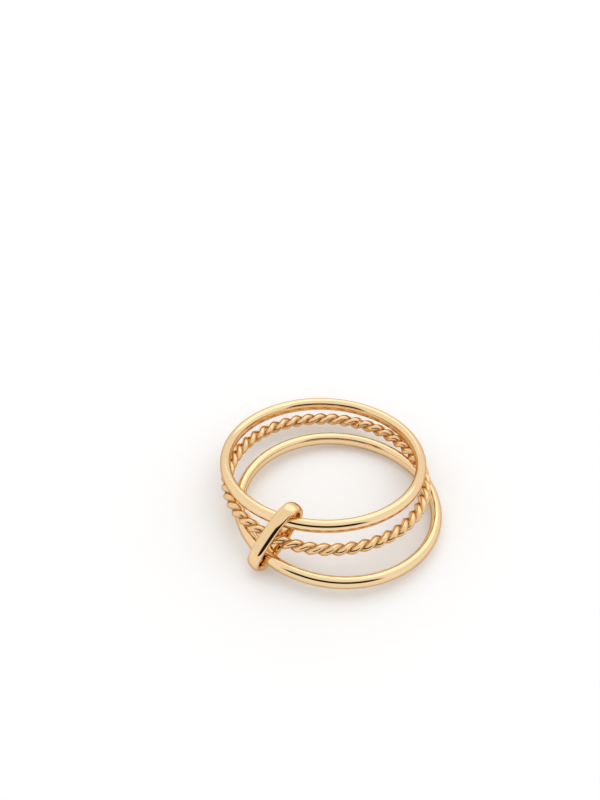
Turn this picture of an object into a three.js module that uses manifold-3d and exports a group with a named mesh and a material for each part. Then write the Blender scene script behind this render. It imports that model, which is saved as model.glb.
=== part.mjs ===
// Three slim finger bands of gold wire, held together by one oval link and lying fanned out on a table.
// Units are millimetres and degrees. +Z is up, and the bands lie on the plane Z = 0.

import * as THREE from "three";
import { mergeVertices } from "three/addons/utils/BufferGeometryUtils.js";
import Module from "manifold-3d";

const wasm = await Module();
wasm.setup();

// Sizes of the bands
const FINGER_DIAMETER = 17.3; // inside of all three bands
const PLAIN_WALL = 1.0; // plain wire, measured outwards from the finger
const PLAIN_HEIGHT = 1.28; // plain wire, measured along the finger
const STRANDS = 2; // in the twisted band
const STRAND_DIAMETER = 0.74;
const STRAND_OFFSET = 0.21; // from the middle of the twisted wire to the middle of a strand
const TWIST_TURNS = 24; // full turns of the strands round the band
const JOINT_DIRECTION = 69; // where the twisted band is soldered, seen from its centre
const JOINT_GAP = 0.16; // between the two ends of the twisted wire
const JOINT_LENGTH = 0.6; // solder between them, along the band
const JOINT_SHARE = 0.62; // thickness of the solder, as a share of the twisted wire's

// How the bands lie
const LINK_DIRECTION = 222.6; // where the link hangs on the bottom band, seen from its centre
const LINK_TURN = 5.4; // turn of the link about the vertical, from the bottom band's radius
const STACK_SLOPE = 55; // rise of the line on which the wires cross inside the link
const MIDDLE_FAN = 15; // turn of the middle band about the link, from the bottom band
const TOP_FAN = 22.6; // turn of the top band about the link, from the bottom band
const LOW_SLACK = 0.49; // free height in the link between the bottom and middle bands
const HIGH_SLACK = 0.6; // free height in the link between the middle and top bands
const MIDDLE_OUTWARD = 0.13; // how far the middle wire hangs out from the line of the other two
const REST_GAP = 0.06; // left between two bands where one lies on the other

// Sizes of the link
const LINK_BAR = 0.62; // thickness of its bar
const LINK_DEPTH = 1.3; // width of its bar, measured along the wires
const LINK_CROWN = 0.28; // how far its faces are domed, measured across the bar
const LINK_SHOULDER = 0.6; // how far the dome reaches in from each side, measured along the wires
const SLOT_OUTER = 0.98; // from the middle of the slot to its side away from the finger
const SLOT_INNER = 0.9; // from the middle of the slot to its side at the finger
const SLOT_END_ROOM = 0.52; // between the last wire and each end of the slot
const OVAL_POWER = 2.7; // fullness of the oval: 2 is an ellipse, more is squarer
const LINK_LEAN = 5; // lean of the link towards the finger, from the line of the wires
const LINK_ROLL = 6; // lean of the link along the wires
const LINK_RISE = 0.26; // from the middle of the line of wires up to the middle of the link
const LINK_SHIFT = 0.42; // from the middle of the line of wires along them to the middle of the link

// Fineness of the meshes
const BAND_STEPS = 72;
const PLAIN_SIDES = 12;
const TWIST_STEPS = 14; // for each turn
const LOBE_STEPS = 8; // round one strand
const LINK_STEPS = 32; // round its outline
const CROWN_STEPS = 3;
const SETTLED = 1e-9; // largest move between two rounds of settling a band

const UP = new THREE.Vector3(0, 0, 1);

const twistThickness = 2 * STRAND_OFFSET + STRAND_DIAMETER;
const plainRadius = (FINGER_DIAMETER + PLAIN_WALL) / 2;
const twistRadius = (FINGER_DIAMETER + twistThickness) / 2;

// A level unit vector that points in a direction given in degrees
function level(direction) {
  const angle = THREE.MathUtils.degToRad(direction);
  return new THREE.Vector3(Math.cos(angle), Math.sin(angle), 0);
}

// Height of a band's middle plane over a point of the table
function heightOver(band, x, y) {
  const { centre, normal } = band;
  return centre.z - (normal.x * (x - centre.x) + normal.y * (y - centre.y)) / normal.z;
}

// The two points where the middle lines of two bands cross, seen from above
function crossings(centre, radius, below) {
  const apart = new THREE.Vector3(below.centre.x - centre.x, below.centre.y - centre.y, 0);
  const distance = apart.length();
  const along = (radius ** 2 - below.radius ** 2 + distance ** 2) / (2 * distance);
  const aside = Math.sqrt(radius ** 2 - along ** 2);
  const forward = apart.normalize();
  const sideways = new THREE.Vector3().crossVectors(UP, forward);
  return [-aside, aside].map((shift) =>
    new THREE.Vector3(centre.x, centre.y, 0).addScaledVector(forward, along).addScaledVector(sideways, shift),
  );
}

// The bottom band: one side rests on the table, the other is held up by the link under it
function placeOnTable(radius, thickness, inLink, direction) {
  const fall = Math.asin((inLink.z - thickness / 2) / (2 * radius));
  const inward = level(direction).multiplyScalar(Math.cos(fall)).addScaledVector(UP, -Math.sin(fall));
  const across = new THREE.Vector3().crossVectors(UP, inward).normalize();
  const normal = new THREE.Vector3().crossVectors(inward, across).normalize();
  return { radius, thickness, inLink, normal, centre: inLink.clone().addScaledVector(inward, radius) };
}

// A band that lies on the one below at the two places where they cross, and goes through the link
function placeOnBand(radius, thickness, inLink, direction, below) {
  let centre = inLink.clone().addScaledVector(level(direction), radius);
  let normal = UP.clone();
  let before;
  do {
    before = centre;
    const [one, two] = crossings(centre, radius, below);
    for (const point of [one, two]) {
      point.z = heightOver(below, point.x, point.y) + (thickness + below.thickness) / 2 + REST_GAP;
    }
    normal = new THREE.Vector3().crossVectors(one.clone().sub(inLink), two.clone().sub(inLink)).normalize();
    if (normal.z < 0) normal.negate();
    const across = new THREE.Vector3().crossVectors(normal, level(direction)).normalize();
    const inward = new THREE.Vector3().crossVectors(across, normal);
    centre = inLink.clone().addScaledVector(inward, radius);
  } while (centre.distanceTo(before) > SETTLED);
  return { radius, thickness, inLink, normal, centre };
}

// The line on which the wires cross inside the link rises towards the finger, in the link's own plane
const slope = THREE.MathUtils.degToRad(STACK_SLOPE);
const linkOutward = level(LINK_DIRECTION + LINK_TURN);
const stackLine = linkOutward.clone().multiplyScalar(-Math.cos(slope)).addScaledVector(UP, Math.sin(slope));
const lowStep = (PLAIN_HEIGHT + twistThickness) / 2 + LOW_SLACK;
const highStep = (PLAIN_HEIGHT + twistThickness) / 2 + HIGH_SLACK;
const stackLength = lowStep + highStep;

// The link's own directions: along its length, across it away from the finger, and along the wires
const lean = THREE.MathUtils.degToRad(STACK_SLOPE - LINK_LEAN);
const linkAcross = linkOutward.clone().multiplyScalar(Math.sin(lean)).addScaledVector(UP, Math.cos(lean));
const linkLong = linkOutward.clone().multiplyScalar(-Math.cos(lean)).addScaledVector(UP, Math.sin(lean));
linkLong.applyAxisAngle(linkAcross, THREE.MathUtils.degToRad(-LINK_ROLL));
const linkDeep = new THREE.Vector3().crossVectors(linkAcross, linkLong);

// Outlines of the link and of its slot
const slotHalfLength = stackLength / 2 + PLAIN_HEIGHT / 2 + SLOT_END_ROOM;
const slotOutline = oval(slotHalfLength, SLOT_OUTER, SLOT_INNER);
const linkOutline = oval(slotHalfLength + LINK_BAR, SLOT_OUTER + LINK_BAR, SLOT_INNER + LINK_BAR);

// The link stands on the table, so its lowest point sets the height of the wires in it
const linkFoot = Math.min(...linkOutline.map((point) => point.x * linkAcross.z + point.y * linkLong.z));
const footDepth = (LINK_DEPTH / 2 - LINK_SHOULDER) * Math.abs(linkDeep.z);
const linkShift = linkLong.clone().multiplyScalar(LINK_RISE).addScaledVector(linkDeep, -LINK_SHIFT);
const lowest = level(LINK_DIRECTION).multiplyScalar(plainRadius);
lowest.z = footDepth - linkFoot - linkShift.z - (stackLength / 2) * Math.sin(slope);

const wireAt = (step) => lowest.clone().addScaledVector(stackLine, step);
const inwardDirection = LINK_DIRECTION + 180;
const bottom = placeOnTable(plainRadius, PLAIN_HEIGHT, wireAt(0), inwardDirection);
const middleWire = wireAt(lowStep).addScaledVector(linkAcross, MIDDLE_OUTWARD);
const middle = placeOnBand(twistRadius, twistThickness, middleWire, inwardDirection + MIDDLE_FAN, bottom);
const top = placeOnBand(plainRadius, PLAIN_HEIGHT, wireAt(stackLength), inwardDirection + TOP_FAN, middle);

// One closed solid for joining, from a three.js geometry
function solid(geometry) {
  const bare = geometry.index ? geometry.toNonIndexed() : geometry.clone();
  bare.deleteAttribute("normal");
  bare.deleteAttribute("uv");
  const merged = mergeVertices(bare, 1e-4);
  return new wasm.Manifold(
    new wasm.Mesh({
      numProp: 3,
      vertProperties: new Float32Array(merged.attributes.position.array),
      triVerts: new Uint32Array(merged.index.array),
    }),
  );
}

// A three.js geometry from a joined solid
function geometryOf(joined) {
  const mesh = joined.getMesh();
  const geometry = new THREE.BufferGeometry();
  geometry.setAttribute("position", new THREE.BufferAttribute(new Float32Array(mesh.vertProperties), 3));
  geometry.setIndex(new THREE.BufferAttribute(new Uint32Array(mesh.triVerts), 1));
  return geometry;
}

// Plain band: an oval section, flat on its top and bottom facets, turned about the band's axis
function plainBand() {
  const profile = [];
  for (let i = 0; i <= PLAIN_SIDES; i += 1) {
    const angle = (2 * Math.PI * (i + 0.5)) / PLAIN_SIDES;
    const reach = 1 / Math.cos(Math.PI / PLAIN_SIDES);
    profile.push(
      new THREE.Vector2(
        plainRadius + (PLAIN_WALL / 2) * reach * Math.cos(angle),
        (PLAIN_HEIGHT / 2) * reach * Math.sin(angle),
      ),
    );
  }
  return new THREE.LatheGeometry(profile, BAND_STEPS).rotateX(Math.PI / 2);
}

// Section of the twisted wire: round strands set in a circle, each from one crease to the next
function strandSection() {
  const radius = STRAND_DIAMETER / 2;
  const half = Math.PI / STRANDS;
  const crease = STRAND_OFFSET * Math.cos(half) + Math.sqrt(radius ** 2 - (STRAND_OFFSET * Math.sin(half)) ** 2);
  const reach = Math.atan2(crease * Math.sin(half), crease * Math.cos(half) - STRAND_OFFSET);
  const points = [];
  for (let strand = 0; strand < STRANDS; strand += 1) {
    for (let i = 0; i < LOBE_STEPS; i += 1) {
      const angle = -reach + (2 * reach * i) / LOBE_STEPS;
      const point = new THREE.Vector2(STRAND_OFFSET + radius * Math.cos(angle), radius * Math.sin(angle));
      points.push(point.rotateAround(new THREE.Vector2(), 2 * half * strand));
    }
  }
  return new THREE.Shape(points);
}

// Bends a straight length along Z round the band's axis, and twists it on the way
function bendAndTwist(geometry, start) {
  const position = geometry.attributes.position;
  const vertex = new THREE.Vector3();
  for (let i = 0; i < position.count; i += 1) {
    vertex.fromBufferAttribute(position, i);
    const round = start + vertex.z / twistRadius;
    const section = new THREE.Vector2(vertex.x, vertex.y).rotateAround(new THREE.Vector2(), -TWIST_TURNS * round);
    const reach = twistRadius + section.x;
    position.setXYZ(i, reach * Math.cos(round), reach * Math.sin(round), -section.y);
  }
  return geometry;
}

// Twisted band: the strands run from one side of the solder joint round to the other, with a bead of solder there
function twistedBand() {
  const gap = JOINT_GAP / twistRadius;
  const wire = new THREE.ExtrudeGeometry(strandSection(), {
    depth: (2 * Math.PI - gap) * twistRadius,
    steps: TWIST_TURNS * TWIST_STEPS,
    bevelEnabled: false,
  });
  const bead = new THREE.SphereGeometry(1, PLAIN_SIDES, PLAIN_SIDES / 2);
  const beadRadius = (twistThickness * JOINT_SHARE) / 2;
  bead.scale(beadRadius, JOINT_LENGTH / 2, beadRadius).translate(twistRadius, 0, 0);
  return geometryOf(solid(bendAndTwist(wire, gap / 2)).add(solid(bead)));
}

// Oval outline of the link or its slot: fuller on the side away from the finger
function oval(halfLength, outer, inner) {
  const points = [];
  for (let i = 0; i < LINK_STEPS; i += 1) {
    const angle = (2 * Math.PI * i) / LINK_STEPS;
    const across = Math.sign(Math.cos(angle)) * Math.abs(Math.cos(angle)) ** (2 / OVAL_POWER);
    const along = Math.sign(Math.sin(angle)) * Math.abs(Math.sin(angle)) ** (2 / OVAL_POWER);
    points.push(new THREE.Vector2(across * (across > 0 ? outer : inner), along * halfLength));
  }
  return points;
}

// Link: a domed bar round a slot
function ovalLink() {
  const shape = new THREE.Shape(linkOutline);
  shape.holes.push(new THREE.Path(slotOutline));
  return new THREE.ExtrudeGeometry(shape, {
    depth: LINK_DEPTH - 2 * LINK_SHOULDER,
    bevelThickness: LINK_SHOULDER,
    bevelSize: LINK_CROWN,
    bevelOffset: -LINK_CROWN,
    bevelSegments: CROWN_STEPS,
  }).translate(0, 0, LINK_SHOULDER - LINK_DEPTH / 2);
}

// Materials: polished yellow gold
const gold = (color, roughness) => new THREE.MeshStandardMaterial({ color, roughness, metalness: 1 });

function mesh(name, geometry, material) {
  const made = new THREE.Mesh(geometry, material);
  made.name = name;
  return made;
}

// Turns a band's axis to its normal, with the zero of its turn in the given direction, and sets its centre
function lay(band, made, direction) {
  const across = new THREE.Vector3().crossVectors(band.normal, level(direction)).normalize();
  const forward = new THREE.Vector3().crossVectors(across, band.normal);
  made.quaternion.setFromRotationMatrix(new THREE.Matrix4().makeBasis(forward, across, band.normal));
  made.position.copy(band.centre);
  return made;
}

function hang(made) {
  const basis = new THREE.Matrix4().makeBasis(linkAcross, linkLong, linkDeep);
  made.quaternion.setFromRotationMatrix(basis);
  made.position.copy(wireAt(stackLength / 2)).add(linkShift);
  return made;
}

const ring = new THREE.Group();
ring.add(lay(bottom, mesh("band_bottom", plainBand(), gold(0xe6bd82, 0.14)), inwardDirection));
ring.add(lay(middle, mesh("band_twisted", twistedBand(), gold(0xdfb47a, 0.2)), JOINT_DIRECTION));
ring.add(lay(top, mesh("band_top", plainBand(), gold(0xe6bd82, 0.14)), inwardDirection));
ring.add(hang(mesh("link", ovalLink(), gold(0xe2b676, 0.12))));

// The origin is the middle of the foot of the box round the whole ring
const model = new THREE.Group();
model.add(ring);
model.updateMatrixWorld(true);
const box = new THREE.Box3().setFromObject(model, true);
const middleOfBox = box.getCenter(new THREE.Vector3());
ring.position.set(-middleOfBox.x, -middleOfBox.y, -box.min.z);

export default model;
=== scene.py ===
import math

import bpy
from mathutils import Matrix, Quaternion, Vector


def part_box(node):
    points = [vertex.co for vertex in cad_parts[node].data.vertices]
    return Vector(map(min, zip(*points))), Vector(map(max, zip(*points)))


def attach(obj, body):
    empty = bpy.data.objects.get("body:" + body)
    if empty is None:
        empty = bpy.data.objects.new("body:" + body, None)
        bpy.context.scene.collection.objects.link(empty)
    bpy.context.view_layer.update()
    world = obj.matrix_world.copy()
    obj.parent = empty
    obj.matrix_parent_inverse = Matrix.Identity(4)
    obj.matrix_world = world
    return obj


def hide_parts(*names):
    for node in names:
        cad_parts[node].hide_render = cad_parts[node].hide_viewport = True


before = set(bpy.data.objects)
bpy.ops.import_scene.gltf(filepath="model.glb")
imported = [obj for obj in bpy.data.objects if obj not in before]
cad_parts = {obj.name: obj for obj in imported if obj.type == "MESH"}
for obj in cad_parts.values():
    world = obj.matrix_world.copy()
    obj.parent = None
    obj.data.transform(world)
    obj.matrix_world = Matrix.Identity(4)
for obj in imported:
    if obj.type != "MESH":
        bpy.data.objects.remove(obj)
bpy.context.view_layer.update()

MM = 0.001

# Driving sizes, the same as in the part's source, in millimetres and degrees
FINGER_DIAMETER = 17.3
PLAIN_WALL = 1.0
PLAIN_HEIGHT = 1.28
STRANDS = 2
STRAND_DIAMETER = 0.74
STRAND_OFFSET = 0.21
TWIST_TURNS = 24
JOINT_DIRECTION = 69
JOINT_GAP = 0.16
JOINT_LENGTH = 0.6
JOINT_SHARE = 0.62
LINK_DIRECTION = 222.6
LINK_TURN = 5.4
STACK_SLOPE = 55
MIDDLE_FAN = 15
TOP_FAN = 22.6
LOW_SLACK = 0.49
HIGH_SLACK = 0.6
MIDDLE_OUTWARD = 0.13
# Set straight up at each crossing, so the real gap between tilted wires is smaller
REST_GAP = 0.06
LINK_BAR = 0.62
LINK_DEPTH = 1.3
LINK_CROWN = 0.28
LINK_SHOULDER = 0.6
SLOT_OUTER = 0.98
SLOT_INNER = 0.9
SLOT_END_ROOM = 0.52
OVAL_POWER = 2.7
LINK_LEAN = 5
LINK_ROLL = 6
LINK_RISE = 0.26
LINK_SHIFT = 0.42

# Fineness of the meshes shown
BAND_STEPS = 360
PLAIN_SIDES = 48
TWIST_STEPS = 40
LOBE_STEPS = 20
BEAD_STEPS = 24
LINK_STEPS = 160
CROWN_STEPS = 10
SETTLED = 1e-6

# Camera, in the picture's own pixels and in millimetres from the centre of the bottom band
PICTURE_HEIGHT = 800
FOCAL_PIXELS = 1252
CAMERA_ELEVATION = 43.18
CAMERA_ROLL = 2.02
CAMERA_PLACE = Vector((-3.880, -78.083, 87.660))

# The white tent and the dark room seen through its open front, in degrees round and up from the table
ROOM_DIRECTION = -92
ROOM_WIDTH = (42, 52)
ROOM_HEIGHTS = (0, 1, 27, 34)
TENT_COLOUR = (1, 0.99, 0.985)
ROOM_COLOUR = (0.02, 0.012, 0.006)
TENT_STRENGTH = 0.95

# Gold: colours, roughness, the tint seen at a slant, and the painted crease shade: its brown and how far it
# reaches
PLAIN_COLOUR = (0.91, 0.68, 0.40)
TWISTED_COLOUR = (0.87, 0.60, 0.32)
# Painted shade: the brown painted into the creases between the strands of the twisted wire
CREASE_SHADE_COLOUR = (0.42, 0.2, 0.08)
LINK_COLOUR = (0.90, 0.65, 0.36)
EDGE_TINT = (0.66, 0.42, 0.26)
POLISH = 0.05
TWISTED_POLISH = 0.16
# How far the painted crease shade reaches out from each crease
CREASE_SHADE_SHARE = 0.5

# Floor and soft light, in metres and watts
FLOOR_COLOUR = (0.94, 0.945, 0.95)
FLOOR_ROUGHNESS = 0.6
FLOOR_HALF = 1.0
FLOOR_DROP = 0.0002
KEY_PLACE = (0.08, 0.16, 0.36)
KEY_AIM = (0, 0, 0)
KEY_SIZE = (0.6, 0.4)
KEY_POWER = 0.36
KEY_COLOUR = (1, 0.99, 0.97)

# Sockets of a colour mix: its two colours and its result
MIX_FIRST = 6
MIX_SECOND = 7
MIX_RESULT = 2

UP = Vector((0, 0, 1))
twist_thickness = 2 * STRAND_OFFSET + STRAND_DIAMETER
plain_radius = (FINGER_DIAMETER + PLAIN_WALL) / 2
twist_radius = (FINGER_DIAMETER + twist_thickness) / 2


# How the bands lie, worked out as in the part's source

def level(direction):
    angle = math.radians(direction)
    return Vector((math.cos(angle), math.sin(angle), 0))


def height_over(band, x, y):
    centre, normal = band["centre"], band["normal"]
    return centre.z - (normal.x * (x - centre.x) + normal.y * (y - centre.y)) / normal.z


def crossings(centre, radius, below):
    """The two points where the middle lines of two bands cross, seen from above."""
    apart = Vector((below["centre"].x - centre.x, below["centre"].y - centre.y, 0))
    distance = apart.length
    along = (radius ** 2 - below["radius"] ** 2 + distance ** 2) / (2 * distance)
    aside = math.sqrt(radius ** 2 - along ** 2)
    forward = apart.normalized()
    sideways = UP.cross(forward)
    flat = Vector((centre.x, centre.y, 0))
    return [flat + along * forward + shift * sideways for shift in (-aside, aside)]


def place_on_table(radius, thickness, in_link, direction):
    fall = math.asin((in_link.z - thickness / 2) / (2 * radius))
    inward = level(direction) * math.cos(fall) - UP * math.sin(fall)
    across = UP.cross(inward).normalized()
    normal = inward.cross(across).normalized()
    centre = in_link + inward * radius
    return {"radius": radius, "thickness": thickness, "normal": normal, "centre": centre}


def place_on_band(radius, thickness, in_link, direction, below):
    centre = in_link + level(direction) * radius
    normal = UP
    before = in_link
    while (centre - before).length > SETTLED:
        before = centre
        points = crossings(centre, radius, below)
        for point in points:
            rise = (thickness + below["thickness"]) / 2 + REST_GAP
            point.z = height_over(below, point.x, point.y) + rise
        normal = (points[0] - in_link).cross(points[1] - in_link).normalized()
        if normal.z < 0:
            normal = -normal
        across = normal.cross(level(direction)).normalized()
        centre = in_link + across.cross(normal) * radius
    return {"radius": radius, "thickness": thickness, "normal": normal, "centre": centre}


def oval(half_length, outer, inner, steps):
    """Oval outline, fuller on the side away from the finger."""
    points = []
    for i in range(steps):
        angle = 2 * math.pi * i / steps
        across = math.copysign(abs(math.cos(angle)) ** (2 / OVAL_POWER), math.cos(angle))
        along = math.copysign(abs(math.sin(angle)) ** (2 / OVAL_POWER), math.sin(angle))
        points.append(Vector((across * (outer if across > 0 else inner), along * half_length)))
    return points


slope = math.radians(STACK_SLOPE)
link_outward = level(LINK_DIRECTION + LINK_TURN)
stack_line = UP * math.sin(slope) - link_outward * math.cos(slope)
low_step = (PLAIN_HEIGHT + twist_thickness) / 2 + LOW_SLACK
high_step = (PLAIN_HEIGHT + twist_thickness) / 2 + HIGH_SLACK
stack_length = low_step + high_step
lean = math.radians(STACK_SLOPE - LINK_LEAN)
link_across = UP * math.cos(lean) + link_outward * math.sin(lean)
link_long = UP * math.sin(lean) - link_outward * math.cos(lean)
link_long.rotate(Quaternion(link_across, math.radians(-LINK_ROLL)))
link_deep = link_across.cross(link_long)

slot_half_length = stack_length / 2 + PLAIN_HEIGHT / 2 + SLOT_END_ROOM
link_sizes = (slot_half_length + LINK_BAR, SLOT_OUTER + LINK_BAR, SLOT_INNER + LINK_BAR)
foot = min(point.x * link_across.z + point.y * link_long.z for point in oval(*link_sizes, LINK_STEPS))
foot_depth = (LINK_DEPTH / 2 - LINK_SHOULDER) * abs(link_deep.z)
link_shift = link_long * LINK_RISE - link_deep * LINK_SHIFT
lowest = level(LINK_DIRECTION) * plain_radius
lowest.z = foot_depth - foot - link_shift.z - (stack_length / 2) * math.sin(slope)


def wire_at(step):
    return lowest + stack_line * step


inward_direction = LINK_DIRECTION + 180
bottom = place_on_table(plain_radius, PLAIN_HEIGHT, wire_at(0), inward_direction)
middle_wire = wire_at(low_step) + link_across * MIDDLE_OUTWARD
middle = place_on_band(twist_radius, twist_thickness, middle_wire, inward_direction + MIDDLE_FAN, bottom)
top = place_on_band(plain_radius, PLAIN_HEIGHT, wire_at(stack_length), inward_direction + TOP_FAN, middle)
link_centre = wire_at(stack_length / 2) + link_shift


def basis(x, y, z, place):
    turn = Matrix((x, y, z)).transposed().to_4x4()
    return Matrix.Translation(place) @ turn


def lay_matrix(band, direction):
    """The band's own axis along its normal, with the zero of its turn in the given direction."""
    across = band["normal"].cross(level(direction)).normalized()
    return basis(across.cross(band["normal"]), across, band["normal"], band["centre"])


# The frame's origin is the middle of the foot of the box, so the layout moves to where the CAD nodes are
def node_middle(node):
    low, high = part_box(node)
    return (low + high) / 2


shift = node_middle("band_bottom") / MM - bottom["centre"]


def in_frame(matrix):
    """From millimetres in the layout to metres in the row frame."""
    return Matrix.Scale(MM, 4) @ Matrix.Translation(shift) @ matrix


# Meshes

def make_piece(name, vertices, faces, matrix, body, node, material):
    mesh = bpy.data.meshes.new(name)
    mesh.from_pydata([tuple(matrix @ v) for v in vertices], [], faces)
    mesh.validate()
    for polygon in mesh.polygons:
        polygon.use_smooth = True
    mesh.materials.append(material)
    piece = bpy.data.objects.new(name, mesh)
    bpy.context.scene.collection.objects.link(piece)
    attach(piece, body)
    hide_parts(node)
    return piece


def rings_of(rows, closed_round=True):
    """Faces between rows of points, each row a closed section."""
    count = len(rows)
    sides = len(rows[0])
    faces = []
    for i in range(count if closed_round else count - 1):
        j = (i + 1) % count
        for k in range(sides):
            m = (k + 1) % sides
            faces.append((i * sides + k, j * sides + k, j * sides + m, i * sides + m))
    return faces


def plain_band():
    rows = []
    for i in range(BAND_STEPS):
        round_angle = 2 * math.pi * i / BAND_STEPS
        row = []
        for k in range(PLAIN_SIDES):
            angle = 2 * math.pi * k / PLAIN_SIDES
            reach = plain_radius + PLAIN_WALL / 2 * math.cos(angle)
            height = PLAIN_HEIGHT / 2 * math.sin(angle)
            row.append(Vector((reach * math.cos(round_angle), reach * math.sin(round_angle), height)))
        rows.append(row)
    return [v for row in rows for v in row], rings_of(rows)


def strand_section():
    """Round strands set in a circle, each from one crease to the next."""
    radius = STRAND_DIAMETER / 2
    half = math.pi / STRANDS
    crease = STRAND_OFFSET * math.cos(half) + math.sqrt(radius ** 2 - (STRAND_OFFSET * math.sin(half)) ** 2)
    reach = math.atan2(crease * math.sin(half), crease * math.cos(half) - STRAND_OFFSET)
    points = []
    for strand in range(STRANDS):
        for i in range(LOBE_STEPS):
            angle = -reach + 2 * reach * i / LOBE_STEPS
            point = Vector((STRAND_OFFSET + radius * math.cos(angle), radius * math.sin(angle)))
            point.rotate(Matrix.Rotation(2 * half * strand, 2))
            points.append(point)
    return points, crease


def bent(section, round_angle):
    """A section of the twisted wire, turned by the twist and set at its place on the circle."""
    turn = -TWIST_TURNS * round_angle
    row = []
    for point in section:
        x = point.x * math.cos(turn) - point.y * math.sin(turn)
        y = point.x * math.sin(turn) + point.y * math.cos(turn)
        reach = twist_radius + x
        row.append(Vector((reach * math.cos(round_angle), reach * math.sin(round_angle), -y)))
    return row


def solder_bead():
    """The solder between the two ends of the twisted wire."""
    radius = twist_thickness * JOINT_SHARE / 2
    rows = []
    for i in range(1, BEAD_STEPS):
        angle = math.pi * i / BEAD_STEPS
        along = -JOINT_LENGTH / 2 * math.cos(angle)
        row = []
        for k in range(BEAD_STEPS):
            turn = 2 * math.pi * k / BEAD_STEPS
            out = radius * math.sin(angle)
            row.append(Vector((twist_radius + out * math.cos(turn), along, -out * math.sin(turn))))
        rows.append(row)
    faces = rings_of(rows, closed_round=False)
    count = len(rows) * BEAD_STEPS
    faces.append(tuple(range(BEAD_STEPS)))
    faces.append(tuple(reversed(range(count - BEAD_STEPS, count))))
    return [v for row in rows for v in row], faces


def twisted_band():
    section, crease = strand_section()
    steps = TWIST_TURNS * TWIST_STEPS
    gap = JOINT_GAP / twist_radius
    rows = [bent(section, gap / 2 + (2 * math.pi - gap) * i / steps) for i in range(steps + 1)]
    vertices = [v for row in rows for v in row]
    faces = rings_of(rows, closed_round=False)
    sides = len(section)
    faces.append(tuple(range(sides)))
    faces.append(tuple(reversed(range(steps * sides, (steps + 1) * sides))))
    first = len(vertices)
    bead, bead_faces = solder_bead()
    faces += [tuple(first + i for i in face) for face in bead_faces]
    # Painted shade: a mask that is 0 deep in a crease and 1 on the strands, for the brown painted there
    shade_reach = CREASE_SHADE_SHARE * (twist_thickness / 2 - crease)
    shades = [min(1, max(0, (point.length - crease) / shade_reach)) for point in section]
    return vertices + bead, faces, shades * (steps + 1) + [1.0] * len(bead)


def link_mesh():
    """A domed bar swept round the oval: half of its section outside, half inside."""
    outer = oval(*link_sizes, LINK_STEPS)
    slot = oval(slot_half_length, SLOT_OUTER, SLOT_INNER, LINK_STEPS)
    half = LINK_DEPTH / 2
    rows = []
    for inside, outside in zip(slot, outer):
        bar = outside - inside
        thickness = bar.length
        unit = bar / thickness
        row = []
        for corner, (out, far) in enumerate(((1, 1), (1, -1), (-1, -1), (-1, 1))):
            for step in range(CROWN_STEPS + 1):
                angle = math.radians(90 - 90 * corner - 90 * step / CROWN_STEPS)
                radial = thickness / 2 + out * (thickness / 2 - LINK_CROWN) + LINK_CROWN * math.cos(angle)
                depth = far * (half - LINK_SHOULDER) + LINK_SHOULDER * math.sin(angle)
                point = inside + unit * radial
                row.append(Vector((point.x, point.y, depth)))
        rows.append(row)
    return [v for row in rows for v in row], rings_of(rows)


# Materials: gold, browner where it is seen at a slant, with painted shade in the creases of the twisted
# wire

def gold(name, colour, roughness):
    material = bpy.data.materials.new(name)
    material.use_nodes = True
    shader = material.node_tree.nodes["Principled BSDF"]
    shader.inputs["Base Color"].default_value = (*colour, 1)
    shader.inputs["Metallic"].default_value = 1
    shader.inputs["Roughness"].default_value = roughness
    shader.inputs["Specular Tint"].default_value = (*EDGE_TINT, 1)
    return material


def matt(name, colour, roughness):
    material = bpy.data.materials.new(name)
    material.use_nodes = True
    shader = material.node_tree.nodes["Principled BSDF"]
    shader.inputs["Base Color"].default_value = (*colour, 1)
    shader.inputs["Roughness"].default_value = roughness
    return material


def paint_crease_shade(material, crease_shade_colour):
    """Painted shade: the creases between the strands are painted brown, standing in for the shade and
    double reflections there.
    """
    nodes = material.node_tree.nodes
    links = material.node_tree.links
    colour = nodes["Principled BSDF"].inputs["Base Color"]
    reach = nodes.new("ShaderNodeAttribute")
    reach.attribute_name = "crease_shade_mask"
    mix = nodes.new("ShaderNodeMix")
    mix.data_type = "RGBA"
    links.new(reach.outputs["Fac"], mix.inputs["Factor"])
    mix.inputs[MIX_FIRST].default_value = (*crease_shade_colour, 1)
    mix.inputs[MIX_SECOND].default_value = colour.default_value
    links.new(mix.outputs[MIX_RESULT], colour)


plain_gold = gold("plain_gold", PLAIN_COLOUR, POLISH)
twisted_gold = gold("twisted_gold", TWISTED_COLOUR, TWISTED_POLISH)
# Painted shade in the creases of the twisted wire
paint_crease_shade(twisted_gold, CREASE_SHADE_COLOUR)
link_gold = gold("link_gold", LINK_COLOUR, POLISH)


def build_ring():
    vertices, faces = plain_band()
    for name, node, band, body in (
        ("bottom_wire", "band_bottom", bottom, "bottom"),
        ("top_wire", "band_top", top, "top"),
    ):
        place = in_frame(lay_matrix(band, inward_direction))
        make_piece(name, vertices, faces, place, body, node, plain_gold)
    vertices, faces, shades = twisted_band()
    place = in_frame(lay_matrix(middle, JOINT_DIRECTION))
    rope = make_piece(
        "twisted_wire", vertices, faces, place, "middle", "band_twisted", twisted_gold
    )
    # The mask of the painted crease shade, kept on the wire's points
    crease_shade_mask = rope.data.attributes.new("crease_shade_mask", "FLOAT", "POINT")
    crease_shade_mask.data.foreach_set("value", shades)
    vertices, faces = link_mesh()
    place = in_frame(basis(link_across, link_long, link_deep, link_centre))
    make_piece("link_loop", vertices, faces, place, "bottom", "link", link_gold)


# Surroundings

def floor():
    mesh = bpy.data.meshes.new("floor")
    half = FLOOR_HALF
    corners = [(-half, -half, 0), (half, -half, 0), (half, half, 0), (-half, half, 0)]
    mesh.from_pydata(corners, [], [(0, 1, 2, 3)])
    mesh.materials.append(matt("floor_white", FLOOR_COLOUR, FLOOR_ROUGHNESS))
    piece = bpy.data.objects.new("floor", mesh)
    bpy.context.scene.collection.objects.link(piece)
    piece.location = (0, 0, -FLOOR_DROP)


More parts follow.
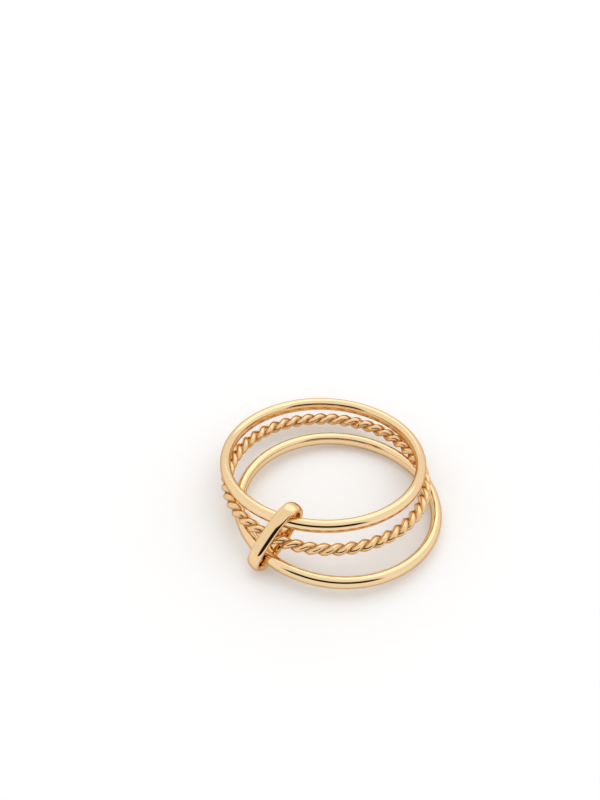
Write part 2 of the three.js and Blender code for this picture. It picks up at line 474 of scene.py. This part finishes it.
def soft_light(name, place, aim, size, power, colour):
    light = bpy.data.lights.new(name, "AREA")
    light.shape = "RECTANGLE"
    light.size, light.size_y = size
    light.energy = power
    light.color = colour
    lamp = bpy.data.objects.new(name, light)
    bpy.context.scene.collection.objects.link(lamp)
    lamp.location = place
    lamp.rotation_euler = (Vector(aim) - Vector(place)).to_track_quat("-Z", "Y").to_euler()


def ramp(tree, value, low, high):
    """A smooth step from 0 at the low value to 1 at the high one."""
    node = tree.nodes.new("ShaderNodeMapRange")
    node.interpolation_type = "SMOOTHSTEP"
    node.inputs["From Min"].default_value = low
    node.inputs["From Max"].default_value = high
    tree.links.new(value, node.inputs["Value"])
    return node.outputs["Result"]


def times(tree, one, two):
    node = tree.nodes.new("ShaderNodeMath")
    node.operation = "MULTIPLY"
    tree.links.new(one, node.inputs[0])
    tree.links.new(two, node.inputs[1])
    return node.outputs["Value"]


def surroundings():
    """A white tent all round. Only reflections see the dark room through its open front."""
    world = bpy.data.worlds.new("studio")
    bpy.context.scene.world = world
    world.use_nodes = True
    tree = world.node_tree
    nodes = tree.nodes
    links = tree.links
    way = nodes.new("ShaderNodeTexCoord").outputs["Generated"]
    split = nodes.new("ShaderNodeSeparateXYZ")
    links.new(way, split.inputs["Vector"])
    front = nodes.new("ShaderNodeVectorMath")
    front.operation = "DOT_PRODUCT"
    front.inputs[1].default_value = level(ROOM_DIRECTION)
    links.new(way, front.inputs[0])
    inner, outer = (math.cos(math.radians(a)) for a in ROOM_WIDTH)
    low, low_full, high_full, high = (math.sin(math.radians(a)) for a in ROOM_HEIGHTS)
    opening = ramp(tree, front.outputs["Value"], outer, inner)
    opening = times(tree, opening, ramp(tree, split.outputs["Z"], low, low_full))
    opening = times(tree, opening, ramp(tree, split.outputs["Z"], high, high_full))
    glossy = nodes.new("ShaderNodeLightPath").outputs["Is Glossy Ray"]
    opening = times(tree, opening, glossy)
    mix = nodes.new("ShaderNodeMix")
    mix.data_type = "RGBA"
    links.new(opening, mix.inputs["Factor"])
    mix.inputs[MIX_FIRST].default_value = (*TENT_COLOUR, 1)
    mix.inputs[MIX_SECOND].default_value = (*ROOM_COLOUR, 1)
    background = nodes["Background"]
    links.new(mix.outputs[MIX_RESULT], background.inputs["Color"])
    background.inputs["Strength"].default_value = TENT_STRENGTH


def camera():
    data = bpy.data.cameras.new("camera")
    data.sensor_fit = "VERTICAL"
    data.sensor_height = 24
    data.lens = FOCAL_PIXELS / PICTURE_HEIGHT * data.sensor_height
    data.clip_start = 0.001
    data.clip_end = 10
    elevation = math.radians(CAMERA_ELEVATION)
    roll = math.radians(CAMERA_ROLL)
    forward = Vector((0, math.cos(elevation), -math.sin(elevation)))
    side = Vector((1, 0, 0))
    over = side.cross(forward)
    right = side * math.cos(roll) + over * math.sin(roll)
    top_way = over * math.cos(roll) - side * math.sin(roll)
    holder = bpy.data.objects.new("camera", data)
    bpy.context.scene.collection.objects.link(holder)
    place = (CAMERA_PLACE + Vector((shift.x, shift.y, 0))) * MM
    holder.matrix_world = basis(right, top_way, -forward, place)
    bpy.context.scene.camera = holder


build_ring()
floor()
surroundings()
soft_light("key", KEY_PLACE, KEY_AIM, KEY_SIZE, KEY_POWER, KEY_COLOUR)
camera()
bpy.context.scene.view_settings.view_transform = "Standard"
